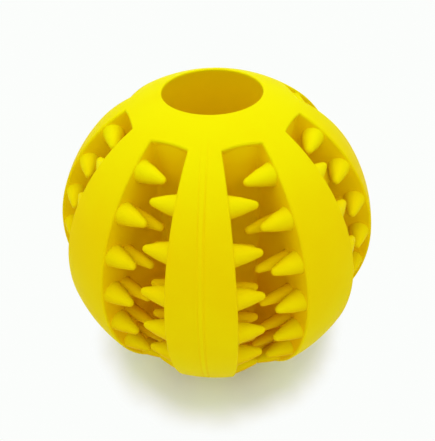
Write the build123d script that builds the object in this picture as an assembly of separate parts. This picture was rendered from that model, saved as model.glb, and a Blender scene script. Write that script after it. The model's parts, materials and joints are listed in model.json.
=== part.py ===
from build123d import *
from math import acos, atan2, cos, degrees, pi, radians, sin, sqrt, tan
import os

# A moulded rubber ball that holds treats. Sizes are in millimetres and degrees.

# The ball, its mouth, the wall of its chamber, how far the collar stands out over that wall, and its foot
BALL_DIAMETER = 70.0
MOUTH_DIAMETER = 19.6
MOUTH_ROUNDING = 0.3
CHAMBER_WALL = 6.5
COLLAR_OVERHANG = 0.6
FOOT_DIAMETER = 16.0

# The ribs and the slots between them, with the slot measured at the ball's surface
RIB_PAIRS = 4
SLOT_WIDTH = 13.75
SLOT_DRAFT = 10.1
RIB_EDGE_ROUNDING = 0.4

# The teeth on the slot walls, with the pitch measured along the outer row
OUTER_TOOTH_DIAMETER = 4.3
OUTER_TOOTH_LENGTH = 5.45
INNER_TOOTH_DIAMETER = 2.8
LONG_INNER_TOOTH_LENGTH = 7.0
SHORT_INNER_TOOTH_LENGTH = 4.8
TOOTH_TIP_RADIUS = 0.8
TOOTH_PITCH = 8.35
TOOTH_ROW_SPACING = 3.25
TOOTH_EDGE_CLEARANCE = 0.1

# The ball's centre is the origin until the finished pieces are stood on their foot
ball_radius = BALL_DIAMETER / 2
mouth_radius = MOUTH_DIAMETER / 2
foot_radius = FOOT_DIAMETER / 2
foot_drop = sqrt(ball_radius**2 - foot_radius**2)

# The slots end on flats that point at the ball's centre, and their floor is the chamber's outside
chamber_radius = mouth_radius + CHAMBER_WALL
slot_end = acos((chamber_radius + COLLAR_OVERHANG) / ball_radius)
chamber_top = chamber_radius * tan(slot_end)

# Seen from above a rib is a wedge, whose point lies a little in front of the ball's axis
rib_count = 2 * RIB_PAIRS
rib_step = 360 / rib_count
front = -90
draft = radians(SLOT_DRAFT)
slot_offset = SLOT_WIDTH / 2 - tan(draft) * sqrt(ball_radius**2 - (SLOT_WIDTH / 2) ** 2)
rib_half_angle = pi / rib_count - draft
rib_point = slot_offset * cos(draft) / sin(rib_half_angle)

# The outer teeth keep a margin to the rounded edge of the wall that carries them
edge_margin = RIB_EDGE_ROUNDING + TOOTH_EDGE_CLEARANCE
outer_row_radius = ball_radius - OUTER_TOOTH_DIAMETER / 2 - edge_margin
inner_row_radius = outer_row_radius - TOOTH_ROW_SPACING
pitch_angle = TOOTH_PITCH / outer_row_radius


def slot_ends():
    """The space above the slots, with one flat side for every slot."""
    across = ball_radius / tan(slot_end)
    top = Pos(0, 0, ball_radius) * RegularPolygon(across, rib_count, major_radius=False)
    return extrude(top, chamber_top - ball_radius, taper=90 - degrees(slot_end))


def mouth_collar():
    """The smooth cap above the slots, with the mouth through it."""
    collar = Sphere(ball_radius) & slot_ends()
    collar -= Cylinder(mouth_radius, BALL_DIAMETER)
    rim = collar.edges().filter_by(GeomType.CIRCLE).sort_by(Axis.Z)[-1]
    return fillet(rim, MOUTH_ROUNDING)


def treat_chamber():
    """The tube between the collar and the base cap."""
    return Cylinder(chamber_radius, 2 * chamber_top) - Cylinder(mouth_radius, 2 * chamber_top)


def base_cap():
    """The closed end below the slots, cut flat for the foot."""
    dome = Sphere(ball_radius) & mirror(slot_ends(), Plane.XY)
    return split(dome, Plane((0, 0, -foot_drop)), keep=Keep.TOP)


def rib():
    """One rib facing +X, cut from the ring that the ribs and slots share."""
    ring = Sphere(ball_radius) - Cylinder(chamber_radius, BALL_DIAMETER)
    ring -= slot_ends()
    ring -= mirror(slot_ends(), Plane.XY)
    reach = BALL_DIAMETER * tan(rib_half_angle)
    wedge = Polygon((0, 0), (BALL_DIAMETER, -reach), (BALL_DIAMETER, reach), align=None)
    body = ring & Pos(rib_point, 0, 0) * extrude(wedge, ball_radius, both=True)
    long_edges = body.edges().sort_by(SortBy.LENGTH)[-2:]
    return fillet(long_edges, RIB_EDGE_ROUNDING)


def tooth(diameter, length):
    """A cone with a round tip, standing on the XY plane."""
    radius = diameter / 2
    tip_height = length - TOOTH_TIP_RADIUS
    side_lean = acos(TOOTH_TIP_RADIUS / sqrt(radius**2 + tip_height**2)) - atan2(tip_height, radius)

    def on_tip(angle):
        return (TOOTH_TIP_RADIUS * cos(angle), tip_height + TOOTH_TIP_RADIUS * sin(angle))

    side = Polyline((0, 0), (radius, 0), on_tip(side_lean))
    tip = ThreePointArc(side @ 1, on_tip((side_lean + pi / 2) / 2), (0, length))
    outline = side + tip + Line(tip @ 1, (0, 0))
    return revolve(make_face(Plane.XZ * outline), Axis.Z)


def fits(row_radius, latitude, diameter, length):
    """Whether a tooth has its margin to the slot's end and floor and to the wall across the slot."""
    from_axis = row_radius * cos(latitude)
    half_width = slot_offset + tan(draft) * from_axis * cos(draft)
    to_end = sqrt(from_axis**2 - half_width**2) * sin(slot_end)
    to_end -= row_radius * sin(abs(latitude)) * cos(slot_end)
    to_floor = from_axis - chamber_radius
    to_wall = 2 * half_width * cos(draft) / cos(2 * draft)
    return min(to_end, to_floor) >= diameter / 2 + edge_margin and to_wall >= length + edge_margin


def tooth_seat(side, latitude):
    """The plane of a wall of the rib facing +X, at an outer tooth, with its X towards the ball's centre."""
    along = Vector(cos(rib_half_angle), side * sin(rib_half_angle), 0)
    from_axis = outer_row_radius * cos(latitude)
    run = sqrt(from_axis**2 - (rib_point * sin(rib_half_angle)) ** 2) - rib_point * cos(rib_half_angle)
    foot = Vector(rib_point, 0, outer_row_radius * sin(latitude)) + along * run
    inward = -(along * cos(latitude) + Vector(0, 0, sin(latitude)))
    return Plane(foot, x_dir=inward, z_dir=Vector(-sin(rib_half_angle), side * cos(rib_half_angle), 0))


def tooth_row(side, staggered):
    """The teeth on one wall of a rib, each outer one joined at the root to the inner one behind it."""
    inner_length = LONG_INNER_TOOTH_LENGTH if staggered else SHORT_INNER_TOOTH_LENGTH
    single = tooth(OUTER_TOOTH_DIAMETER, OUTER_TOOTH_LENGTH)
    double = single + Pos(TOOTH_ROW_SPACING, 0, 0) * tooth(INNER_TOOTH_DIAMETER, inner_length)
    most = int(slot_end / pitch_angle) + 1
    teeth = []
    for place in range(-most, most + 1):
        latitude = (place + staggered / 2) * pitch_angle
        if fits(outer_row_radius, latitude, OUTER_TOOTH_DIAMETER, OUTER_TOOTH_LENGTH):
            has_inner = fits(inner_row_radius, latitude, INNER_TOOTH_DIAMETER, inner_length)
            teeth.append(tooth_seat(side, latitude) * (double if has_inner else single))
    return teeth


def ball():
    """Every section of the ball by its name, about the ball's centre."""
    sections = {
        "mouth_collar": mouth_collar(),
        "treat_chamber": treat_chamber(),
        "base_cap": base_cap(),
    }
    plain_rib = rib()
    for number in range(rib_count):
        turn = Rot(0, 0, front + number * rib_step)
        name = f"rib_{number + 1}"
        sections[name] = turn * plain_rib
        # In each slot the staggered row is on the wall that is further from the front rib
        for side_name, side, staggered in (
            ("left", -1, 0 < number <= RIB_PAIRS),
            ("right", 1, number >= RIB_PAIRS),
        ):
            row = [turn * piece for piece in tooth_row(side, staggered)]
            sections[f"{name}_{side_name}_teeth"] = Compound(row)
    return sections


os.makedirs("parts", exist_ok=True)
for section_name, section in ball().items():
    export_step(Pos(0, 0, foot_drop) * section, f"parts/{section_name}.step")
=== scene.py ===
import json
from collections import namedtuple
from itertools import pairwise
from math import acos, atan2, cos, hypot, pi, radians, sin, sqrt, tan

import bpy
from mathutils import Matrix, Vector


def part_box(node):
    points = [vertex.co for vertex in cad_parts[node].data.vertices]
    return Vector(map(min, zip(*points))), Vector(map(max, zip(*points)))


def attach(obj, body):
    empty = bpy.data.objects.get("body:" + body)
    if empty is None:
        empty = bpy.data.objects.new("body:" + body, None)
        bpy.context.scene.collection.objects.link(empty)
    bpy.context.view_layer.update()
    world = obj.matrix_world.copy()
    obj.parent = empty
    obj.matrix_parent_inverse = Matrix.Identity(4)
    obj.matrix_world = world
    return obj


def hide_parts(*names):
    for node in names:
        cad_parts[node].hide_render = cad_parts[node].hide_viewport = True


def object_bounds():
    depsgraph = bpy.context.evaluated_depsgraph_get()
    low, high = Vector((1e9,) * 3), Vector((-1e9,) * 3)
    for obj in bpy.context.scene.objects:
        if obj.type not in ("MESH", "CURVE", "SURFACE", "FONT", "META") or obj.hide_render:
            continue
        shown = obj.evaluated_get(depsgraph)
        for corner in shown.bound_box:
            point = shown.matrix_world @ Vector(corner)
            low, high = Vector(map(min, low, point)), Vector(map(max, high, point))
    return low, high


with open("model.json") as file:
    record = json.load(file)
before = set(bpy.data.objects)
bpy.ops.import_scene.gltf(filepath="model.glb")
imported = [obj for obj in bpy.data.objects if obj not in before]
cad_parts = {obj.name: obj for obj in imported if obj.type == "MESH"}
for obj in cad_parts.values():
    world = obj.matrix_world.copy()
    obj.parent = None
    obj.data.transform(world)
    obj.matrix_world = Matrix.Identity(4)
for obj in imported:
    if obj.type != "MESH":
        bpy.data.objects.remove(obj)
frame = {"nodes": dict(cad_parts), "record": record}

bl_info = {
    "name": "Treat ball",
    "version": (1, 0, 0),
    "blender": (4, 5, 0),
    "location": "3D View > Sidebar > Treat ball",
    "description": "Dresses the treat dispensing ball in moulded yellow rubber",
    "category": "Object",
}

# What the frame gives, with every shape worked out about the ball's centre
CAD_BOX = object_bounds()
MOUNTS = {mount["name"]: mount for mount in frame["record"]["mounts"]}
UP = Vector((0, 0, 1))
BALL_RADIUS = (CAD_BOX[1].x - CAD_BOX[0].x) / 2
CENTRE = UP * sum(corner.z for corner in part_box("rib_1")) / 2
FOOT_DROP = CENTRE.z
MOUTH_RADIUS = MOUNTS["treat_mouth"]["dims"]["r_mm"] / 1000
CHAMBER_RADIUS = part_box("treat_chamber")[1].x
CHAMBER_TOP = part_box("treat_chamber")[1].z - CENTRE.z
SLOT_END = atan2(CHAMBER_TOP, CHAMBER_RADIUS)
RIB_COUNT = sum(name.startswith("rib_") and not name.endswith("_teeth") for name in frame["nodes"])
RIB_STEP = 2 * pi / RIB_COUNT
FRONT = -pi / 2

# How finely the curved surfaces are divided
ROUNDING_STEPS = 4
CORNER_STEPS = 2
FLARE_STEPS = 5
WALL_STEPS = 34
END_STEPS = 6
RIB_STEPS = 12
SEAM_STEPS = 2
SEAM_FADE_STEPS = 4
DOME_STEPS = 10
TOOTH_SIDES = 12
TIP_RINGS = 2

# Where the first ring of a tooth's tip lies, and how much of the root's spread is left at its top
TIP_START = 0.1
ROOT_LEFT = 0.2

# How far apart, in radii, the lines lie that carry the slots' rounding on over the end of a rib
JOINT_STEP = 0.001

# How many finer layers the noises have
CLOUD_DETAIL = 3.0
GRAIN_DETAIL = 2.0
RIPPLE_DETAIL = 1.0
SHADOW_DETAIL = 2.0

# The attribute on the teeth that says how far up their surface faces, from -1 to 1, which the rubber uses
# to paint shade on their undersides
RISE_MARK = "rise"

# Where the bands of soft light start on the sky, from 0 at the horizon to 1 straight above
LOW_BAND = (0.05, 0.2)
HIGH_BAND = (0.4, 0.6)
TOP_BAND = (0.8, 0.92)


def length(name, description, default):
    """A property that holds a length in metres."""
    return bpy.props.FloatProperty(
        name=name, description=description, default=default, precision=5, unit="LENGTH"
    )


def angle(name, description, default):
    """A property that holds an angle, with its default in degrees."""
    return bpy.props.FloatProperty(
        name=name, description=description, default=radians(default), subtype="ANGLE"
    )


def amount(name, description, default):
    """A property that holds a plain number."""
    return bpy.props.FloatProperty(name=name, description=description, default=default, precision=4)


def count(name, description, default):
    """A property that holds a whole number."""
    return bpy.props.IntProperty(name=name, description=description, default=default)


def colour(name, description, default):
    """A property that holds a linear colour."""
    return bpy.props.FloatVectorProperty(
        name=name, description=description, default=default, size=3, subtype="COLOR", min=0, max=1
    )


class BallSizes(bpy.types.PropertyGroup):
    """Sizes of the moulding between its tooth rows"""

    slot_width: length("Slot width", "Width of a slot at the ball's surface", 0.01375)
    slot_draft: angle("Slot draft", "Lean of each slot wall to the middle of its slot", 10.1)
    edge_rounding: length("Edge rounding", "Radius of the edge round every slot", 0.0004)
    corner_rounding: length("Corner rounding", "Radius of the slot's corners, seen from outside", 0.0003)
    end_arch: length("End arch", "How far the middle of a slot's end arches towards the mouth", 0.0002)
    root_flare: length("Root flare", "Radius where a slot wall meets the chamber", 0.0016)
    mouth_rounding: length("Mouth rounding", "Radius of the mouth's rim", 0.0003)
    foot_rounding: length("Foot rounding", "Radius round the flat foot", 0.0006)


class ToothSizes(bpy.types.PropertyGroup):
    """Sizes of the teeth and of their rows"""

    outer_length: length("Outer length", "Length of an outer tooth", 0.00545)
    outer_diameter: length("Outer diameter", "Diameter of an outer tooth at the wall", 0.0043)
    long_inner_length: length("Long inner length", "Length of an inner tooth in a staggered row", 0.0070)
    short_inner_length: length("Short inner length", "Length of an inner tooth in a plain row", 0.0048)
    inner_diameter: length("Inner diameter", "Diameter of an inner tooth at the wall", 0.0028)
    tip_radius: length("Tip radius", "Radius of every tooth's tip", 0.0008)
    side_bulge: length("Side bulge", "How far a tooth's side bends outwards", 0.00015)
    root_flare: length("Root flare", "How far a tooth spreads where it leaves the wall", 0.00035)
    root_depth: length("Root depth", "How deep a tooth stands in the wall", 0.0003)
    pitch: length("Pitch", "Distance between teeth along the outer row", 0.00835)
    edge_distance: length("Edge distance", "From the ball's surface to the outer row's middle", 0.00265)
    row_spacing: length("Row spacing", "From the outer to the inner row", 0.00325)
    plain_teeth: count("Plain teeth", "Teeth in a row with one on the ball's equator", 7)
    staggered_teeth: count("Staggered teeth", "Teeth in a row set off by half a pitch", 8)
    staggered_inner_teeth: count("Staggered inner teeth", "Inner teeth in a staggered row", 6)


class RubberFinish(bpy.types.PropertyGroup):
    """Colour and surface of the rubber, with the shade and light painted into its colour"""

    base: colour("Rubber", "Colour of the moulded rubber", (0.97, 0.905, 0.0015))
    # The next colour is the pigment's denser tone in its clouds and grain, and also painted shade lower
    # down on the ball and in the seam's lines
    dense_and_shaded: colour("Dense rubber", "Colour where the pigment is denser", (0.95, 0.720, 0.001))
    # The deep colours are painted shade: a darker, more orange colour deep in the slots and in the chamber,
    # darker still in the lower half
    deep: colour("Deep rubber", "Colour deep in the slots and in the chamber", (0.98, 0.705, 0.001))
    deepest: colour("Deepest rubber", "Colour deep in the lower half of the slots", (0.98, 0.595, 0.001))
    # Painted shade on the inner teeth and on the teeth's undersides, darker lower down
    tooth_shade: colour("Deep tooth", "Colour of the inner teeth", (0.90, 0.62, 0.001))
    low_tooth_shade: colour("Deepest tooth", "Colour of the lower inner teeth", (0.84, 0.46, 0.001))
    # Painted shade by height: the rubber is painted palest at the top and darker lower down
    no_shade_height: amount("Pale height", "Height in radii above which the rubber is palest", 0.98)
    full_shade_height: amount("Dense height", "Height in radii below which the pigment is denser", 0.45)
    deep_height: amount("Deep height", "Height in radii above which the slots have the deep colour", 0.4)
    deepest_height: amount("Deepest height", "Height in radii below which they have the deepest", -0.3)
    # How much painted shade lies low on the ball, and how much more of it at middle height
    low_shade: amount("Low density", "How dense the pigment is low on the ball", 0.7)
    middle_shade: amount("Middle density", "How much denser it is at middle height", 0.25)
    cloud_share: amount("Cloud share", "How much the clouds change the pigment", 0.5)
    grain_share: amount("Grain share", "How much the grain changes the pigment", 0.3)
    # Where the painted shade deep in the slots, on the teeth and under the teeth starts, and how strong it
    # is
    edge_depth: length("Edge depth", "Depth where the slot walls have most of the deep colour", 0.0008)
    edge_share: amount("Edge share", "How much of the deep colour they have there", 0.8)
    wall_depth: length("Wall depth", "Depth where the slot walls have all of the deep colour", 0.0050)
    floor_start: length("Floor start", "Depth where the deep colour begins on the slots' floor", 0.0004)
    floor_full: length("Floor full", "Depth where the deep colour is full on the slots' floor", 0.0013)
    floor_share: amount("Floor share", "How much of the deep colour the slots' floor has", 0.8)
    floor_spread: length("Floor spread", "How far the deep colour spreads from the slots' floor", 0.003)
    tooth_start: length("Tooth start", "Depth where the deep colour begins on the teeth", 0.0026)
    tooth_full: length("Tooth full", "Depth where the deep colour is full on the teeth", 0.0066)
    # Painted shade on the teeth's undersides, from how far up they face
    underside_rise: amount("Underside rise", "How far up, from -1 to 1, the undersides face", -0.6)
    top_rise: amount("Top rise", "How far up, from -1 to 1, the tops of the teeth face", 0.85)
    underside_share: amount("Underside share", "How much of the deep colour the undersides have", 0.78)
    # Painted light: the teeth are painted lighter than the rest of the rubber, the upper teeth more so
    low_tooth_light: amount("Low thinning", "How much thinner the pigment is in the lower teeth", 0.112)
    high_tooth_light: amount("High thinning", "How much thinner still it is in the upper teeth", 0.224)
    sheen_tint: colour("Sheen tint", "Colour of the satin's reflections", (1.0, 0.88, 0.05))
    sheen_level: amount("Sheen level", "Strength of the satin's reflections", 0.03)
    sheen_index: amount("Sheen index", "Refractive index of the satin skin", 1.2)
    roughness: amount("Roughness", "Middle roughness of the satin surface", 0.44)
    cloud_roughness: amount("Cloud roughness", "How much the clouds change the satin", 0.10)
    grain_roughness: amount("Grain roughness", "How much the grain changes the satin", 0.06)
    seam_roughness: amount("Seam roughness", "How much duller the seam is", 0.1)
    cloud_size: length("Cloud size", "Size of the faint clouds in the pigment", 0.009)
    grain_size: length("Grain size", "Size of the grain left by the mould's steel", 0.00022)
    grain_depth: length("Grain depth", "Depth of that grain", 0.000006)
    ripple_size: length("Ripple size", "Size of the slow ripples of the moulded skin", 0.0045)
    ripple_depth: length("Ripple depth", "Depth of those ripples", 0.000016)
    seam_spacing: length("Seam spacing", "Distance between the two fine lines of the mould seam", 0.0011)
    seam_width: length("Seam width", "Width of one seam line", 0.00022)
    seam_depth: length("Seam depth", "Depth of one seam line", 0.00005)
    # The seam's lines are painted darker, as shade in their grooves, and the band between them is painted
    # lighter
    shade_width: amount("Stain width", "Width of the stain in the fainter line, in line widths", 0.9)
    heavy_width: amount("Heavy width", "How much wider it is in the heavier line", 0.6)
    seam_shading: amount("Stain", "Extra pigment in the fainter line", 0.7)
    heavy_shade: amount("Heavy stain", "Further pigment in the heavier line", 0.3)
    band_lightening: amount("Band thinning", "How much thinner the pigment is between the lines", 0.2)
    least_shading: amount("Least stain", "Share of the stain where it is faintest", 0.4)
    shading_change: amount("Stain change", "How much the stain comes and goes along the seam", 0.8)


class StageSettings(bpy.types.PropertyGroup):
    """Camera, light and floor"""

    camera_azimuth: angle("Camera azimuth", "Turn of the camera to the right of the front rib", 5.5)
    camera_elevation: angle("Camera elevation", "Height of the camera above the horizon", 40.1)
    camera_roll: angle("Camera roll", "Roll of the camera", 1.75)
    camera_distance: length("Camera distance", "From the ball's centre to the camera", 0.11804)
    focal_pixels: amount("Focal length in pixels", "Focal length in pixels of the photograph", 499.5)
    white: colour("White", "White of the background", (0.966, 0.984, 0.966))
    floor: colour("Floor", "Colour of the floor", (0.89, 0.91, 0.89))
    # The floor under the ball is tinted with painted bounce light, greenish in the ball's shadow
    shadow_tinted_floor: colour("Near floor", "Colour of the floor under the ball", (0.90, 1.0, 0.95))
    shadow_start: length("Shadow start", "Distance from the foot where the shadow starts to fade", 0.026)
    shadow_end: length("Shadow end", "Distance from the foot where the shadow has faded", 0.035)
    shadow_patch: length("Shadow patch", "Size of the bends in the shadow's edge", 0.012)
    shadow_bend: length("Shadow bend", "How far the shadow's edge bends in and out", 0.004)
    floor_reach: length("Floor reach", "Half the width of the floor", 3.0)
    floor_gap: length("Floor gap", "Gap between the foot and the floor", 0.00001)
    floor_roughness: amount("Floor roughness", "Roughness of the floor", 0.9)
    low_strength: amount("Low strength", "Strength of the soft light from near the horizon", 0.41)
    high_strength: amount("High strength", "Strength of the soft light from higher up, all round", 1.24)
    key_strength: amount("Key strength", "Strength of the soft light from straight above", 1.0)
    key_spread: angle("Key spread", "Width of the soft light from straight above", 60)


class Wire:
    """A node's output, which Python's operators join to new Math nodes."""

    def __init__(self, graph, socket):
        self.graph = graph
        self.socket = socket

    def maths(self, operation, first, second):
        return self.graph.node("ShaderNodeMath", {"operation": operation}, {0: first, 1: second})

    def __add__(self, other):
        return self.maths("ADD", self, other)

    def __sub__(self, other):
        return self.maths("SUBTRACT", self, other)

    def __rsub__(self, other):
        return self.maths("SUBTRACT", other, self)

    def __mul__(self, other):
        return self.maths("MULTIPLY", self, other)

    def __truediv__(self, other):
        return self.maths("DIVIDE", self, other)

    __radd__ = __add__
    __rmul__ = __mul__


class Graph:
    """A node tree that is written as Python expressions."""

    def __init__(self, tree):
        self.tree = tree
        tree.nodes.clear()

    def node(self, kind, settings=None, sockets=None, output=0):
        """Add a node, set it up, fill its sockets with values or wires, and return one of its outputs."""
        made = self.tree.nodes.new(kind)
        for name, value in (settings or {}).items():
            setattr(made, name, value)
        for key, value in (sockets or {}).items():
            for entry in value if isinstance(value, list) else [value]:
                if isinstance(entry, Wire):
                    self.tree.links.new(entry.socket, made.inputs[key])
                else:
                    made.inputs[key].default_value = entry
        return Wire(self, made.outputs[output]) if made.outputs else None


def opaque(tint):
    """A colour with its alpha."""
    return (*tint, 1.0)


def noise(graph, place, size, detail):
    """A soft random value from 0 to 1 whose clouds are about as large as a size in metres."""
    return graph.node("ShaderNodeTexNoise", {}, {"Vector": place, "Scale": 1 / size, "Detail": detail})


def mixed(graph, share, first, second):
    """A colour between two colours."""
    return graph.node("ShaderNodeMix", {"data_type": "RGBA"}, {0: share, 6: first, 7: second}, output=2)


def ramp(graph, value, start, finish):
    """A soft step from 0 to 1 while a value goes from start to finish."""
    sockets = {"Value": value, "From Min": start, "From Max": finish}
    return graph.node("ShaderNodeMapRange", {"interpolation_type": "SMOOTHSTEP"}, sockets)


def distance(graph, place, other):
    """How far two places are apart."""
    ends = {0: place, 1: other}
    return graph.node("ShaderNodeVectorMath", {"operation": "DISTANCE"}, ends, output="Value")


def axis_distance(graph, place):
    """How far a place is from the ball's axis."""
    level = graph.node("ShaderNodeVectorMath", {"operation": "MULTIPLY"}, {0: place, 1: (1, 1, 0)})
    return distance(graph, level, (0, 0, 0))


def painted_shade_share(graph, place, finish, on_teeth):
    """How much of the deep colour, which is painted shade, a place has, from 0 on the ball's surface to 1
    deep inside.
    """
    from_axis = axis_distance(graph, place)
    depth = BALL_RADIUS - distance(graph, place, CENTRE)
    off_floor = ramp(graph, from_axis, CHAMBER_RADIUS, CHAMBER_RADIUS + finish.floor_spread)
    below_surface = ramp(graph, depth, finish.floor_start, finish.floor_full)
    on_floor = (1 - off_floor) * below_surface * finish.floor_share
    if on_teeth:
        # Painted shade on the teeth's undersides and on the teeth deeper in the slot
        rise = graph.node("ShaderNodeAttribute", {"attribute_name": RISE_MARK}, output="Fac")
        under = (1 - ramp(graph, rise, finish.underside_rise, finish.top_rise)) * finish.underside_share
        in_row = ramp(graph, depth, finish.tooth_start, finish.tooth_full)
        in_slot = 1 - (1 - in_row) * (1 - under)
    else:
        at_edge = ramp(graph, depth, 0.0, finish.edge_depth)
        on_wall = ramp(graph, depth, 0.0, finish.wall_depth)
        in_slot = at_edge * finish.edge_share + on_wall * (1 - finish.edge_share)
    return 1 - (1 - on_floor) * (1 - in_slot)


def seam_shade_and_light(graph, place, finish):
    """How much painted shade lies in the two lines of the mould seam, and how much lighter the band between
    them is painted.
    """
    line = finish.seam_spacing / 2
    across = graph.node("ShaderNodeSeparateXYZ", {}, {0: place}, output="X")
    side = graph.node("ShaderNodeMath", {"operation": "ABSOLUTE"}, {0: across})
    beside = graph.node("ShaderNodeMath", {"operation": "ABSOLUTE"}, {0: side - line})
    heavy = ramp(graph, across, -line, line)
    width = finish.seam_width * (finish.shade_width + heavy * finish.heavy_width)
    seam_shading = (1 - ramp(graph, beside, 0.0, width)) * (finish.seam_shading + heavy * finish.heavy_shade)
    band = 1 - ramp(graph, side, 0.0, line)
    outside = ramp(graph, axis_distance(graph, place), MOUTH_RADIUS, CHAMBER_RADIUS)
    return (seam_shading - band * finish.band_lightening) * outside


def above_centre(graph, place, start, finish):
    """A soft step from 0 to 1 between two heights above the ball's centre, given in radii."""
    height = graph.node("ShaderNodeSeparateXYZ", {}, {0: place}, output="Z")
    return ramp(graph, height, CENTRE.z + BALL_RADIUS * start, CENTRE.z + BALL_RADIUS * finish)


def rubber(name, finish):
    """Satin yellow rubber with pigment clouds, mould grain and, on the mould's parting plane, a seam, with
    painted shade deep in the slots, under the teeth, lower down and in the seam's lines, and painted light
    on the teeth.
    """
    known = bpy.data.materials.get(name)
    if known:
        return known
    material = bpy.data.materials.new(name)
    material.use_nodes = True
    graph = Graph(material.node_tree)
    place = graph.node("ShaderNodeTexCoord", output="Object")
    cloud = noise(graph, place, finish.cloud_size, CLOUD_DETAIL)
    grain = noise(graph, place, finish.grain_size, GRAIN_DETAIL)
    ripple = noise(graph, place, finish.ripple_size, RIPPLE_DETAIL)
    # Both run evenly to either side of 0
    clouds = cloud - 0.5
    grains = grain - 0.5
    # Painted shade by height, darker lower down on the ball, added to the pigment's real clouds and grain
    lower = 1 - above_centre(graph, place, finish.full_shade_height, finish.no_shade_height)
    middle = above_centre(graph, place, finish.deepest_height, finish.deep_height)
    density_and_shade = lower * (finish.low_shade + middle * finish.middle_shade)
    density_and_shade = density_and_shade + clouds * finish.cloud_share + grains * finish.grain_share
    relief = grain * finish.grain_depth + ripple * finish.ripple_depth
    roughness = finish.roughness + clouds * finish.cloud_roughness + grains * finish.grain_roughness
    if name == "seamed_rubber":
        # Painted shade in the seam's lines and a lighter band between them, lower down on the ball
        patches = finish.least_shading + ripple * finish.shading_change
        seam_shading = seam_shade_and_light(graph, place, finish) * patches * lower
        density_and_shade = density_and_shade + seam_shading
        roughness = roughness + seam_shading * finish.seam_roughness
    on_teeth = name == "tooth_rubber"
    if on_teeth:
        # Painted light on the teeth, more on the upper ones, and painted shade for their inner colours
        density_and_shade = density_and_shade - (finish.low_tooth_light + middle * finish.high_tooth_light)
        inside = mixed(graph, middle, opaque(finish.low_tooth_shade), opaque(finish.tooth_shade))
    else:
        inside = mixed(graph, middle, opaque(finish.deepest), opaque(finish.deep))
    skin = mixed(graph, density_and_shade, opaque(finish.base), opaque(finish.dense_and_shaded))
    # Painted shade is mixed in deep in the slots and the chamber, on the inner teeth and under the teeth
    tint = mixed(graph, painted_shade_share(graph, place, finish, on_teeth), skin, inside)
    bump = graph.node("ShaderNodeBump", {}, {"Strength": 1.0, "Distance": 1.0, "Height": relief})
    shader = graph.node(
        "ShaderNodeBsdfPrincipled",
        {},
        {
            "Base Color": tint,
            "Roughness": roughness,
            "Normal": bump,
            "IOR": finish.sheen_index,
            "Specular IOR Level": finish.sheen_level,
            "Specular Tint": opaque(finish.sheen_tint),
        },
    )
    graph.node("ShaderNodeOutputMaterial", {}, {"Surface": shader})
    return material


def finish_piece(piece, *nodes):
    """Let a finished piece stand for its sections of the packed model."""
    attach(piece, "root")
    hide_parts(*nodes)


Spot = namedtuple("Spot", "place normal")
Station = namedtuple("Station", "centre into")


def mirrored(spot, x=1, y=1, z=1):
    """A spot seen in a mirror across the named axes."""
    flip = Vector((x, y, z))
    return Spot(spot.place * flip, spot.normal * flip)


def turned(spots, turn):
    """Spots turned about the ball's axis."""
    matrix = Matrix.Rotation(turn, 3, "Z")
    return [Spot(matrix @ spot.place, matrix @ spot.normal) for spot in spots]


def around(items):
    """Each item with the next one, and the last with the first."""
    return pairwise([*items, items[0]])


def flat(place):
    """The level part of a place."""
    return Vector((place.x, place.y, 0))


def on_chamber(place):
    """The spot of the chamber's outside on the line from a place to the ball's centre."""
    outward = flat(place)
    return Spot(place * (CHAMBER_RADIUS / outward.length), outward.normalized())


class Skin:
    """The corners, faces and corner normals of one closed piece, about the ball's centre."""

    def __init__(self):
        self.corners = []
        self.faces = []
        self.normals = []
        self.known = {}

    def corner(self, place):
        key = tuple(place)
        if key not in self.known:
            self.known[key] = len(self.corners)
            self.corners.append(place)
        return self.known[key]

    def face(self, spots, facing=None):
        """Add a face that looks the way its spots' normals do, or, if it is flat, the way that is given."""
        used = {}
        for spot in spots:
            used.setdefault(self.corner(spot.place), spot)
        if len(used) < 3:
            return
        places = [spot.place for spot in used.values()]
        looks = sum((a.cross(b) for a, b in around(places)), Vector((0, 0, 0)))
        normals = [facing or spot.normal for spot in used.values()]
        order = list(zip(used, normals))
        if looks.dot(sum(normals, Vector((0, 0, 0)))) < 0:
            order.reverse()
        self.faces.append([index for index, normal in order])
        self.normals.extend(normal for index, normal in order)

    def strip(self, line, next_line, facing=None):
        """Add the faces between two lines of spots."""
        for (a, b), (c, d) in zip(pairwise(line), pairwise(next_line)):
            self.face([a, b, d, c], facing)

    def build(self, name, material):
        """Make the piece, in place in the frame."""
        mesh = bpy.data.meshes.new(name)
        mesh.from_pydata([place + CENTRE for place in self.corners], [], self.faces)
        mesh.materials.append(material)
        mesh.shade_smooth()
        mesh.normals_split_custom_set(self.normals)
        uses = {}
        for face in self.faces:
            for pair in around(face):
                uses[frozenset(pair)] = uses.get(frozenset(pair), 0) + 1
        if mesh.validate() or any(sides != 2 for sides in uses.values()):
            raise RuntimeError(f"{name} isn't closed")
        piece = bpy.data.objects.new(name, mesh)
        bpy.context.scene.collection.objects.link(piece)
        return piece


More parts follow.
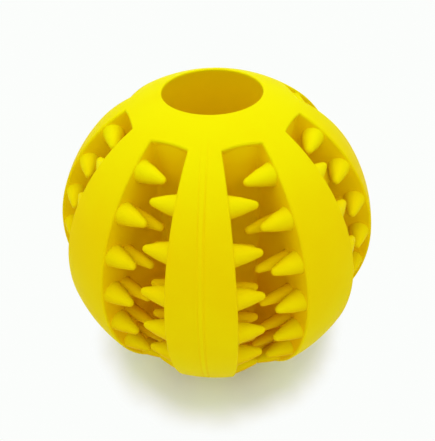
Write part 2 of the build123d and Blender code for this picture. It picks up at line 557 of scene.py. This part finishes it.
class SlotEdge:
    """The rounded edge along the +Y wall of the rib that faces +X, and on across the slot's end."""

    def __init__(self, sizes):
        half_step = RIB_STEP / 2
        half_slot = sizes.slot_width / 2
        lean = half_step - sizes.slot_draft
        inner_half = half_slot - tan(sizes.slot_draft) * sqrt(BALL_RADIUS**2 - half_slot**2)
        self.rounding = sizes.edge_rounding
        self.corner_rounding = sizes.corner_rounding
        self.end_arch = sizes.end_arch
        self.root_flare = sizes.root_flare
        self.lean = lean
        self.offset = inner_half * cos(sizes.slot_draft)
        self.along = Vector((cos(lean), sin(lean), 0))
        self.into_rib = Vector((sin(lean), -cos(lean), 0))
        self.outward = Vector((cos(half_step), sin(half_step), 0))
        self.across = Vector((-sin(half_step), cos(half_step), 0))
        self.end_out = self.outward * cos(SLOT_END) + UP * sin(SLOT_END)
        self.into_collar = UP * cos(SLOT_END) - self.outward * sin(SLOT_END)
        self.corner_out = self.into_collar.cross(self.into_rib).normalized()
        self.reach = BALL_RADIUS - self.rounding
        self.inset = self.offset + self.rounding
        self.circle = sqrt(self.reach**2 - self.inset**2)

    def wall(self, rise):
        """The station on the rib's wall at a rise above the level of the ball's centre."""
        ahead = self.along * cos(rise) + UP * sin(rise)
        return Station(self.into_rib * self.inset + ahead * self.circle, self.into_rib)

    def wall_top(self):
        """The rise at which the wall's edge gives way to the slot's rounded corner."""
        level = self.into_collar.dot(self.along) * self.circle
        upright = self.into_collar.z * self.circle
        depth = -self.corner_rounding - self.inset * self.into_collar.dot(self.into_rib)
        return atan2(upright, level) - acos(depth / hypot(level, upright))

    def corner(self, share):
        """The station in the slot's corner, from the wall at 0 to the slot's end at 1."""
        slant = self.into_rib.dot(self.into_collar)
        inset = self.offset - self.corner_rounding
        rib_part = (inset + slant * self.corner_rounding) / (1 - slant**2)
        collar_part = -self.corner_rounding - slant * rib_part
        into = self.into_rib.slerp(self.into_collar, share)
        axis = self.into_rib * rib_part + self.into_collar * collar_part
        level = axis + into * (self.corner_rounding + self.rounding)
        return Station(level + self.corner_out * sqrt(self.reach**2 - level.length_squared), into)

    def end(self, share):
        """The station on the slot's end, from the corner at 0 to the middle of the slot at 1."""
        circle = sqrt(self.reach**2 - self.rounding**2)
        start = self.corner(1).centre.dot(self.across) / circle
        swing = start * (1 - share)
        lift = self.end_arch / BALL_RADIUS * (1 - (1 - share) ** 2)
        arch = Matrix.Rotation(-lift, 3, self.across)
        ahead = self.end_out * sqrt(1 - swing**2) + self.across * swing
        place = self.into_collar * self.rounding + ahead * circle
        return Station(arch @ place, arch @ self.into_collar)

    def rounded(self, station):
        """The spots round the edge, from the ball's surface to the wall."""
        outward = station.centre.normalized()
        shares = [step / ROUNDING_STEPS for step in range(ROUNDING_STEPS + 1)]
        turns = [outward.slerp(-station.into, share) for share in shares]
        return [Spot(station.centre + turn * self.rounding, turn) for turn in turns]

    def flared(self, station):
        """The spots where the wall bends into the chamber's outside, from the wall to the chamber."""
        foot = station.centre - station.into * self.rounding
        depth = foot.dot(self.along) - sqrt(CHAMBER_RADIUS**2 - self.offset**2)
        flare = self.root_flare * depth / (depth + self.root_flare)
        inset = self.offset - flare
        reach = CHAMBER_RADIUS + flare
        middle = self.into_rib * inset + self.along * sqrt(reach**2 - inset**2)
        on_wall = station.into == self.into_rib
        ahead = self.along if on_wall else self.outward
        slope = foot.z / foot.dot(self.along) if on_wall else tan(SLOT_END)
        spots = []
        for step in range(FLARE_STEPS + 1):
            inwards = self.into_rib.slerp(-middle.normalized(), step / FLARE_STEPS)
            place = middle + inwards * flare
            spots.append(Spot(place + UP * slope * place.dot(ahead), -inwards))
        return spots

    def rib_stations(self):
        """The stations of the upper half of a rib, from the middle of the slot's corner down."""
        corners = [self.corner(step / CORNER_STEPS / 2) for step in range(CORNER_STEPS, 0, -1)]
        top = self.wall_top()
        return corners + [self.wall(top * step / WALL_STEPS) for step in range(WALL_STEPS, -1, -1)]

    def end_stations(self):
        """The stations of half a slot's end, from the middle of the corner to the middle of the slot."""
        corners = [self.corner((1 + step / CORNER_STEPS) / 2) for step in range(CORNER_STEPS)]
        return corners + [self.end(step / END_STEPS) for step in range(END_STEPS + 1)]

    def over_rib(self, edge):
        """The spots of the ball's surface from an edge spot to its mirror image across the rib."""
        return on_ball(edge.normal, mirrored(edge, y=-1).normal, RIB_STEPS)


def on_ball(start, finish, steps):
    """The spots of the ball's surface between two directions."""
    turns = [start.slerp(finish, step / steps) for step in range(1, steps)]
    return [Spot(turn * BALL_RADIUS, turn) for turn in turns]


class Seam:
    """The two fine lines that the mould's parting leaves along the middle of a rib that faces +X."""

    def __init__(self, finish):
        self.line = finish.seam_spacing / 2
        self.width = finish.seam_width
        self.depth = finish.seam_depth

    def spot(self, middle, step, share):
        """The spot at a step across one line, from -1 to 1, sunk by a share of the line's depth."""
        across = self.line + step * self.width
        sideways = Vector((0, 1, 0))
        outward = middle * sqrt(1 - (across / BALL_RADIUS) ** 2) + sideways * (across / BALL_RADIUS)
        depth = self.depth * share
        sunk = depth * (1 + cos(pi * step)) / 2
        slope = depth * pi * sin(pi * step) / (2 * self.width)
        return Spot(outward * (BALL_RADIUS - sunk), (outward - sideways * slope).normalized())

    def over_rib(self, edge, share):
        """The spots from an edge spot to its mirror image, across both lines."""
        middle = Vector((edge.normal.x, 0, edge.normal.z)).normalized()
        steps = [step / SEAM_STEPS for step in range(SEAM_STEPS, -SEAM_STEPS - 1, -1)]
        line = [self.spot(middle, step, share) for step in steps]
        half = on_ball(edge.normal, line[0].normal, RIB_STEPS // 2) + line
        return half + [mirrored(spot, y=-1) for spot in reversed(half)]


def rib_ring(edge, station, seam, share):
    """The line round a rib at a station, from the chamber over the ball's surface and back."""
    surface = edge.rounded(station)
    side = edge.flared(station)[::-1] + surface[::-1]
    over = seam.over_rib(surface[0], share) if seam else edge.over_rib(surface[0])
    return side + over + [mirrored(spot, y=-1) for spot in reversed(side)]


def root_line(ring):
    """The line on the chamber under a rib, from the first to the last spot of the ring above it."""
    start = atan2(ring[0].place.y, ring[0].place.x)
    height = UP * ring[0].place.z
    turns = [start * (1 - 2 * step / (len(ring) - 1)) for step in range(len(ring))]
    inwards = [Vector((-cos(turn), -sin(turn), 0)) for turn in turns]
    places = [height - inward * CHAMBER_RADIUS for inward in inwards]
    places[0] = ring[0].place
    places[-1] = ring[-1].place
    return [Spot(place, inward) for place, inward in zip(places, inwards)]


def rib_skin(edge, turn, seam):
    """The whole outside of one rib, with the seam that it may have, which fades out at the rib's ends."""
    rings = []
    for place, station in enumerate(edge.rib_stations()):
        rings.append(rib_ring(edge, station, seam, min(1, place / SEAM_FADE_STEPS)))
    pairs = [(ring, root_line(ring)) for ring in rings]
    for ring, root in reversed(pairs[:-1]):
        pairs.append(([mirrored(spot, z=-1) for spot in ring], [mirrored(spot, z=-1) for spot in root]))
    pairs = [(turned(ring, turn), turned(root, turn)) for ring, root in pairs]
    skin = Skin()
    for (ring, root), (next_ring, next_root) in pairwise(pairs):
        skin.strip(ring, next_ring)
        skin.strip(root, next_root)
    skin.strip(*pairs[0], UP)
    skin.strip(*pairs[-1], -UP)
    return skin


def slot_end_columns(edge):
    """The lines from the ball's surface to the chamber, all round the upper ends of the ribs and slots."""
    half = [edge.rounded(station) for station in edge.end_stations()]
    columns = []
    for number in range(RIB_COUNT):
        turn = FRONT + number * RIB_STEP
        over = edge.over_rib(half[0][0])
        for spot in reversed(over):
            shares = [1 - step * JOINT_STEP for step in range(1, ROUNDING_STEPS + 1)]
            lines = [Spot(spot.place * share, -UP) for share in shares]
            columns.append(turned([spot, *lines, on_chamber(spot.place)], turn))
        for line in half:
            columns.append(turned([*line, Spot(on_chamber(line[-1].place).place, line[-1].normal)], turn))
        for line in reversed(half[:-1]):
            image = [mirrored(spot, y=-1) for spot in line]
            image.append(Spot(on_chamber(image[-1].place).place, image[-1].normal))
            columns.append(turned(turned(image, RIB_STEP), turn))
    return columns


def dome_line(edge_spot, last_spot):
    """The spots of the ball's surface from a slot's end to a ring nearer to the ball's axis."""
    return on_ball(edge_spot.normal, last_spot.normal, DOME_STEPS)


def rim_line(outward, sizes):
    """The spots over the mouth's rim, from the ball's surface down to the chamber."""
    rounding = sizes.mouth_rounding
    reach = BALL_RADIUS - rounding
    middle = outward * (MOUTH_RADIUS + rounding)
    middle += UP * sqrt(reach**2 - middle.length_squared)
    start = middle.normalized()
    turns = [start.slerp(-outward, step / ROUNDING_STEPS) for step in range(ROUNDING_STEPS + 1)]
    spots = [Spot(middle + turn * rounding, turn) for turn in turns]
    return spots + [Spot(outward * MOUTH_RADIUS + UP * CHAMBER_TOP, -outward)]


def collar_skin(edge, sizes):
    """The cap round the mouth, down to the ends of the ribs and slots."""
    lines = []
    for column in slot_end_columns(edge):
        outward = flat(column[0].place).normalized()
        rim = rim_line(outward, sizes)
        lines.append(rim[::-1] + dome_line(column[0], rim[0])[::-1] + column)
    skin = Skin()
    for line, next_line in around(lines):
        skin.strip(line, next_line)
        skin.face([line[0], line[-1], next_line[-1], next_line[0]], -UP)
    return skin


def foot_line(outward, sizes):
    """The spots round the foot's edge, from the flat foot up to the ball's surface."""
    rounding = sizes.foot_rounding
    drop = FOOT_DROP - rounding
    middle = outward * sqrt((BALL_RADIUS - rounding) ** 2 - drop**2) - UP * drop
    finish = middle.normalized()
    turns = [(-UP).slerp(finish, step / ROUNDING_STEPS) for step in range(ROUNDING_STEPS + 1)]
    return [Spot(middle + turn * rounding, turn) for turn in turns]


def base_skin(edge, sizes):
    """The closed lower end, from the slots down to the foot."""
    lines = []
    for column in slot_end_columns(edge):
        outward = flat(column[0].place).normalized()
        foot = foot_line(outward, sizes)
        under = [mirrored(spot, z=-1) for spot in column]
        lines.append(foot + dome_line(under[0], foot[-1])[::-1] + under)
    outwards = [flat(line[0].place).normalized() for line in lines]
    floor = [Spot(outward * MOUTH_RADIUS - UP * CHAMBER_TOP, UP) for outward in outwards]
    skin = Skin()
    for line, next_line in around(lines):
        skin.strip(line, next_line)
    for (line, next_line), (a, b) in zip(around(lines), around(floor)):
        skin.face([line[-1], next_line[-1], b, a], UP)
    skin.face([line[0] for line in lines], -UP)
    skin.face(floor, UP)
    return skin


def chamber_skin(edge):
    """The tube between the collar and the base cap."""
    lines = []
    for column in slot_end_columns(edge):
        top = on_chamber(column[-1].place)
        inside = Spot(top.normal * MOUTH_RADIUS + UP * CHAMBER_TOP, -top.normal)
        lines.append([top, mirrored(top, z=-1), mirrored(inside, z=-1), inside])
    skin = Skin()
    for line, next_line in around(lines):
        skin.strip(line[:2], next_line[:2])
        skin.strip(line[2:], next_line[2:])
        skin.strip(line[1:3], next_line[1:3], -UP)
        skin.face([line[3], line[0], next_line[0], next_line[3]], UP)
    return skin


def tooth_mesh(name, diameter, reach, teeth):
    """One tooth standing on the XY plane, a round-tipped cone that spreads a little at its root."""
    radius = diameter / 2
    tip = teeth.tip_radius
    tip_height = reach - tip
    side_lean = acos(tip / hypot(radius, tip_height)) - atan2(tip_height, radius)
    flare = teeth.root_flare

    def on_side(height):
        return radius - height * tan(side_lean)

    rings = [(radius + flare, -teeth.root_depth), (on_side(flare) + flare * ROOT_LEFT, flare)]
    rings.append((on_side(tip_height / 2) + teeth.side_bulge, tip_height / 2))
    for step in range(TIP_RINGS):
        turn = side_lean + (pi / 2 - side_lean) * (step / TIP_RINGS + TIP_START)
        rings.append((tip * cos(turn), tip_height + tip * sin(turn)))
    corners = []
    for ring_radius, height in rings:
        for side in range(TOOTH_SIDES):
            turn = 2 * pi * side / TOOTH_SIDES
            corners.append((ring_radius * cos(turn), ring_radius * sin(turn), height))
    apex = len(corners)
    corners.append((0, 0, reach))
    faces = [list(range(TOOTH_SIDES))[::-1]]
    for low in range(0, apex - TOOTH_SIDES, TOOTH_SIDES):
        for side in range(TOOTH_SIDES):
            after = (side + 1) % TOOTH_SIDES
            faces.append([low + side, low + after, low + after + TOOTH_SIDES, low + side + TOOTH_SIDES])
    last = apex - TOOTH_SIDES
    faces += [[last + side, last + (side + 1) % TOOTH_SIDES, apex] for side in range(TOOTH_SIDES)]
    mesh = bpy.data.meshes.new(name)
    mesh.from_pydata(corners, [], faces)
    mesh.shade_smooth()
    tooth = bpy.data.objects.new(name, mesh)
    bpy.context.scene.collection.objects.link(tooth)
    return tooth


ROW_INPUTS = {
    "Outer tooth": "NodeSocketObject",
    "Inner tooth": "NodeSocketObject",
    "Outer teeth": "NodeSocketInt",
    "Inner teeth": "NodeSocketInt",
    "Pitch angle": "NodeSocketFloat",
    "Row radius": "NodeSocketFloat",
    "Row spacing": "NodeSocketFloat",
    "Wall offset": "NodeSocketFloat",
    "Wall lean": "NodeSocketFloat",
    "Side": "NodeSocketFloat",
    "Turn": "NodeSocketFloat",
    "Centre height": "NodeSocketFloat",
    "Rubber": "NodeSocketMaterial",
}


def tooth_row_tree():
    """A tree that stands the teeth of one rib wall in two rows and marks how far up they face."""
    tree = bpy.data.node_groups.new("Tooth row", "GeometryNodeTree")
    for name, kind in ROW_INPUTS.items():
        tree.interface.new_socket(name=name, in_out="INPUT", socket_type=kind)
    tree.interface.new_socket(name="Geometry", in_out="OUTPUT", socket_type="NodeSocketGeometry")
    graph = Graph(tree)
    given = {name: graph.node("NodeGroupInput", output=name) for name in ROW_INPUTS}
    side = given["Side"]
    offset = given["Wall offset"]

    def maths(operation, value):
        return graph.node("ShaderNodeMath", {"operation": operation}, {0: value})

    lean_cos = maths("COSINE", given["Wall lean"])
    lean_sin = maths("SINE", given["Wall lean"])
    facing = graph.node(
        "ShaderNodeCombineXYZ", {}, {"Y": pi / 2, "Z": side * (pi / 2 + given["Wall lean"])}
    )
    rotation = graph.node("FunctionNodeEulerToRotation", {}, {0: facing})

    def row(tooth, teeth, spacing):
        index = graph.node("GeometryNodeInputIndex")
        latitude = (index - (teeth - 1) / 2) * given["Pitch angle"]
        level = maths("COSINE", latitude)
        upright = maths("SINE", latitude)
        from_axis = given["Row radius"] * level
        run = maths("SQRT", from_axis * from_axis - offset * offset) - spacing * level
        place = graph.node(
            "ShaderNodeCombineXYZ",
            {},
            {
                "X": offset * lean_sin + run * lean_cos,
                "Y": side * (run * lean_sin - offset * lean_cos),
                "Z": (given["Row radius"] - spacing) * upright,
            },
        )
        points = graph.node("GeometryNodePoints", {}, {"Count": teeth, "Position": place})
        shape = graph.node("GeometryNodeObjectInfo", {}, {"Object": tooth}, output="Geometry")
        return graph.node(
            "GeometryNodeInstanceOnPoints", {}, {"Points": points, "Instance": shape, "Rotation": rotation}
        )

    outer = row(given["Outer tooth"], given["Outer teeth"], 0.0)
    inner = row(given["Inner tooth"], given["Inner teeth"], given["Row spacing"])
    both = graph.node("GeometryNodeJoinGeometry", {}, {0: [outer, inner]})
    turn = graph.node("ShaderNodeCombineXYZ", {}, {"Z": given["Turn"]})
    lift = graph.node("ShaderNodeCombineXYZ", {}, {"Z": given["Centre height"]})
    stand = {"Geometry": both, "Translation": lift, "Rotation": turn}
    stood = graph.node("GeometryNodeTransform", {}, stand)
    solid = graph.node("GeometryNodeRealizeInstances", {}, {0: stood})
    # How far up the surface faces, for the shade that the rubber paints on the teeth's undersides
    normal = graph.node("GeometryNodeInputNormal")
    rise = graph.node("ShaderNodeSeparateXYZ", {}, {0: normal}, output="Z")
    mark = {"Geometry": solid, "Name": RISE_MARK, "Value": rise}
    marked = graph.node("GeometryNodeStoreNamedAttribute", {"data_type": "FLOAT", "domain": "POINT"}, mark)
    dressed = graph.node("GeometryNodeSetMaterial", {}, {"Geometry": marked, "Material": given["Rubber"]})
    graph.node("NodeGroupOutput", {}, {0: dressed})
    return tree


def grown(name, tree, values):
    """A piece with the plain mesh that a tree grows from the values of its inputs."""
    piece = bpy.data.objects.new(name, bpy.data.meshes.new(name))
    bpy.context.scene.collection.objects.link(piece)
    modifier = piece.modifiers.new("Grow", "NODES")
    modifier.node_group = tree
    for socket in tree.interface.items_tree:
        if socket.in_out == "INPUT":
            modifier[socket.identifier] = values[socket.name]
    depsgraph = bpy.context.evaluated_depsgraph_get()
    mesh = bpy.data.meshes.new_from_object(
        piece.evaluated_get(depsgraph), preserve_all_data_layers=True, depsgraph=depsgraph
    )
    piece.modifiers.clear()
    piece.data = mesh
    if not mesh.polygons:
        raise RuntimeError(f"{name} has no teeth")
    return piece


class BALL_OT_collar(bpy.types.Operator):
    """Add the smooth collar round the mouth"""

    bl_idname = "treat_ball.collar"
    bl_label = "Mouth collar"

    def execute(self, context):
        sizes = context.scene.ball_sizes
        seamed = rubber("seamed_rubber", context.scene.rubber_finish)
        skin = collar_skin(SlotEdge(sizes), sizes)
        finish_piece(skin.build("collar_skin", seamed), "mouth_collar")
        return {"FINISHED"}


class BALL_OT_chamber(bpy.types.Operator):
    """Add the tube of the treat chamber"""

    bl_idname = "treat_ball.chamber"
    bl_label = "Treat chamber"

    def execute(self, context):
        plain = rubber("plain_rubber", context.scene.rubber_finish)
        skin = chamber_skin(SlotEdge(context.scene.ball_sizes))
        finish_piece(skin.build("chamber_skin", plain), "treat_chamber")
        return {"FINISHED"}


class BALL_OT_base(bpy.types.Operator):
    """Add the closed lower end with its foot"""

    bl_idname = "treat_ball.base"
    bl_label = "Base cap"

    def execute(self, context):
        sizes = context.scene.ball_sizes
        seamed = rubber("seamed_rubber", context.scene.rubber_finish)
        skin = base_skin(SlotEdge(sizes), sizes)
        finish_piece(skin.build("base_skin", seamed), "base_cap")
        return {"FINISHED"}


class BALL_OT_ribs(bpy.types.Operator):
    """Add the ribs, with the mould seam on the front and the back one"""

    bl_idname = "treat_ball.ribs"
    bl_label = "Ribs"

    def execute(self, context):
        edge = SlotEdge(context.scene.ball_sizes)
        finish = context.scene.rubber_finish
        for number in range(RIB_COUNT):
            on_seam = number % (RIB_COUNT // 2) == 0
            material = rubber("seamed_rubber" if on_seam else "plain_rubber", finish)
            skin = rib_skin(edge, FRONT + number * RIB_STEP, Seam(finish) if on_seam else None)
            finish_piece(skin.build(f"rib_{number + 1}_skin", material), f"rib_{number + 1}")
        return {"FINISHED"}


class BALL_OT_teeth(bpy.types.Operator):
    """Add the teeth on both walls of every rib"""

    bl_idname = "treat_ball.teeth"
    bl_label = "Teeth"

    def execute(self, context):
        teeth = context.scene.tooth_sizes
        edge = SlotEdge(context.scene.ball_sizes)
        outer = tooth_mesh("outer_tooth", teeth.outer_diameter, teeth.outer_length, teeth)
        inner_diameter = teeth.inner_diameter
        long_inner = tooth_mesh("long_inner_tooth", inner_diameter, teeth.long_inner_length, teeth)
        short_inner = tooth_mesh("short_inner_tooth", inner_diameter, teeth.short_inner_length, teeth)
        tree = tooth_row_tree()
        row_radius = BALL_RADIUS - teeth.edge_distance
        values = {
            "Outer tooth": outer,
            "Pitch angle": teeth.pitch / row_radius,
            "Row radius": row_radius,
            "Row spacing": teeth.row_spacing,
            "Wall offset": edge.offset,
            "Wall lean": edge.lean,
            "Centre height": CENTRE.z,
            "Rubber": rubber("tooth_rubber", context.scene.rubber_finish),
        }
        for number in range(RIB_COUNT):
            values["Turn"] = FRONT + number * RIB_STEP
            # In each slot the staggered row is on the wall that is further from the front rib
            back = RIB_COUNT // 2
            walls = {"left": (-1.0, 0 < number <= back), "right": (1.0, number >= back)}
            for wall, (side, staggered) in walls.items():
                values["Side"] = side
                values["Inner tooth"] = long_inner if staggered else short_inner
                values["Outer teeth"] = teeth.staggered_teeth if staggered else teeth.plain_teeth
                values["Inner teeth"] = teeth.staggered_inner_teeth if staggered else teeth.plain_teeth
                row = grown(f"rib_{number + 1}_{wall}_tooth_row", tree, values)
                finish_piece(row, f"rib_{number + 1}_{wall}_teeth")
        for pattern in (outer, long_inner, short_inner):
            bpy.data.objects.remove(pattern)
        return {"FINISHED"}


def seen_directly(graph):
    """1 for what the camera sees itself, in gloss or through glass, and 0 for what lights the ball."""
    kinds = ("Camera", "Glossy", "Transmission")
    rays = [graph.node("ShaderNodeLightPath", output=f"Is {kind} Ray") for kind in kinds]
    return graph.node("ShaderNodeClamp", {}, {"Value": rays[0] + rays[1] + rays[2]})


def floor_material(stage):
    """Plain pale floor that is white away from the ball's shadow."""
    material = bpy.data.materials.new("studio_floor")
    material.use_nodes = True
    graph = Graph(material.node_tree)
    place = graph.node("ShaderNodeTexCoord", output="Object")
    foot = (0, 0, CAD_BOX[0].z)
    bend = (noise(graph, place, stage.shadow_patch, SHADOW_DETAIL) - 0.5) * stage.shadow_bend
    from_foot = distance(graph, place, foot) + bend
    away = ramp(graph, from_foot, stage.shadow_start, stage.shadow_end)
    # Under the ball the floor is tinted with painted bounce light in its shadow
    paper = graph.node(
        "ShaderNodeBsdfPrincipled",
        {},
        {
            "Base Color": mixed(graph, away, opaque(stage.shadow_tinted_floor), opaque(stage.floor)),
            "Roughness": stage.floor_roughness,
            "Specular IOR Level": 0.0,
        },
    )
    white = graph.node("ShaderNodeEmission", {}, {"Color": opaque(stage.white), "Strength": 1.0})
    shader = graph.node("ShaderNodeMixShader", {}, {0: away * seen_directly(graph), 1: paper, 2: white})
    graph.node("ShaderNodeOutputMaterial", {}, {"Surface": shader})
    return material


class BALL_OT_stage(bpy.types.Operator):
    """Add the floor, the light and the camera"""

    bl_idname = "treat_ball.stage"
    bl_label = "Stage"

    photo_width = 435
    photo_height = 441
    axis_x = 216.2
    axis_y = 222.6

    def execute(self, context):
        stage = context.scene.stage_settings
        self.add_floor(context.scene, stage)
        self.add_light(context.scene, stage)
        self.add_camera(context.scene, stage)
        context.scene.view_settings.view_transform = "Standard"
        return {"FINISHED"}

    def add_floor(self, scene, stage):
        reach = stage.floor_reach
        below = CAD_BOX[0].z - stage.floor_gap
        corners = [(reach * x, reach * y, below) for x, y in ((-1, -1), (1, -1), (1, 1), (-1, 1))]
        mesh = bpy.data.meshes.new("floor")
        mesh.from_pydata(corners, [], [(0, 1, 2, 3)])
        mesh.materials.append(floor_material(stage))
        floor = bpy.data.objects.new("floor", mesh)
        scene.collection.objects.link(floor)

    def add_light(self, scene, stage):
        scene.world = bpy.data.worlds.new("studio")
        scene.world.use_nodes = True
        graph = Graph(scene.world.node_tree)
        facing = graph.node("ShaderNodeTexCoord", output="Generated")
        rise = graph.node("ShaderNodeSeparateXYZ", {}, {0: facing}, output="Z")
        higher = ramp(graph, rise, *HIGH_BAND)
        low = (ramp(graph, rise, *LOW_BAND) - higher) * stage.low_strength
        high = (higher - ramp(graph, rise, *TOP_BAND)) * stage.high_strength
        dome = graph.node("ShaderNodeBackground", {}, {"Color": (1, 1, 1, 1), "Strength": low + high})
        white = graph.node("ShaderNodeBackground", {}, {"Color": opaque(stage.white), "Strength": 1.0})
        sky = graph.node("ShaderNodeMixShader", {}, {0: seen_directly(graph), 1: dome, 2: white})
        graph.node("ShaderNodeOutputWorld", {}, {"Surface": sky})
        light = bpy.data.lights.new("key", "SUN")
        light.energy = stage.key_strength
        light.angle = stage.key_spread
        scene.collection.objects.link(bpy.data.objects.new("key", light))

    def add_camera(self, scene, stage):
        azimuth = stage.camera_azimuth
        elevation = stage.camera_elevation
        roll = stage.camera_roll
        back = Vector((sin(azimuth) * cos(elevation), -cos(azimuth) * cos(elevation), sin(elevation)))
        level = Vector((cos(azimuth), sin(azimuth), 0))
        upright = back.cross(level)
        right = level * cos(roll) - upright * sin(roll)
        upward = level * sin(roll) + upright * cos(roll)
        lens = bpy.data.cameras.new("camera")
        longer = max(self.photo_width, self.photo_height)
        lens.lens = lens.sensor_width * stage.focal_pixels / longer
        lens.shift_x = (self.photo_width / 2 - self.axis_x) / longer
        lens.shift_y = (self.axis_y - self.photo_height / 2) / longer
        lens.clip_start = 0.001
        camera = bpy.data.objects.new("camera", lens)
        turn = Matrix((right, upward, back)).transposed().to_4x4()
        camera.matrix_world = Matrix.Translation(CENTRE + back * stage.camera_distance) @ turn
        scene.collection.objects.link(camera)
        scene.camera = camera


PIECES = (BALL_OT_collar, BALL_OT_chamber, BALL_OT_base, BALL_OT_ribs, BALL_OT_teeth, BALL_OT_stage)
SETTINGS = {
    "ball_sizes": BallSizes,
    "tooth_sizes": ToothSizes,
    "rubber_finish": RubberFinish,
    "stage_settings": StageSettings,
}


class VIEW3D_PT_treat_ball(bpy.types.Panel):
    """The ball's pieces and settings"""

    bl_label = "Treat ball"
    bl_space_type = "VIEW_3D"
    bl_region_type = "UI"
    bl_category = "Treat ball"

    def draw(self, context):
        for piece in PIECES:
            self.layout.operator(piece.bl_idname)
        for name, group in SETTINGS.items():
            box = self.layout.box()
            box.label(text=group.__doc__)
            for setting in group.__annotations__:
                box.prop(getattr(context.scene, name), setting)


def register():
    for group in SETTINGS.values():
        bpy.utils.register_class(group)
    for name, group in SETTINGS.items():
        setattr(bpy.types.Scene, name, bpy.props.PointerProperty(type=group))
    for piece in (*PIECES, VIEW3D_PT_treat_ball):
        bpy.utils.register_class(piece)


def unregister():
    for piece in (VIEW3D_PT_treat_ball, *PIECES):
        bpy.utils.unregister_class(piece)
    for name, group in SETTINGS.items():
        delattr(bpy.types.Scene, name)
        bpy.utils.unregister_class(group)


def main():
    register()
    bpy.ops.treat_ball.collar()
    bpy.ops.treat_ball.chamber()
    bpy.ops.treat_ball.base()
    bpy.ops.treat_ball.ribs()
    bpy.ops.treat_ball.teeth()
    bpy.ops.treat_ball.stage()


if __name__ == "__main__":
    main()
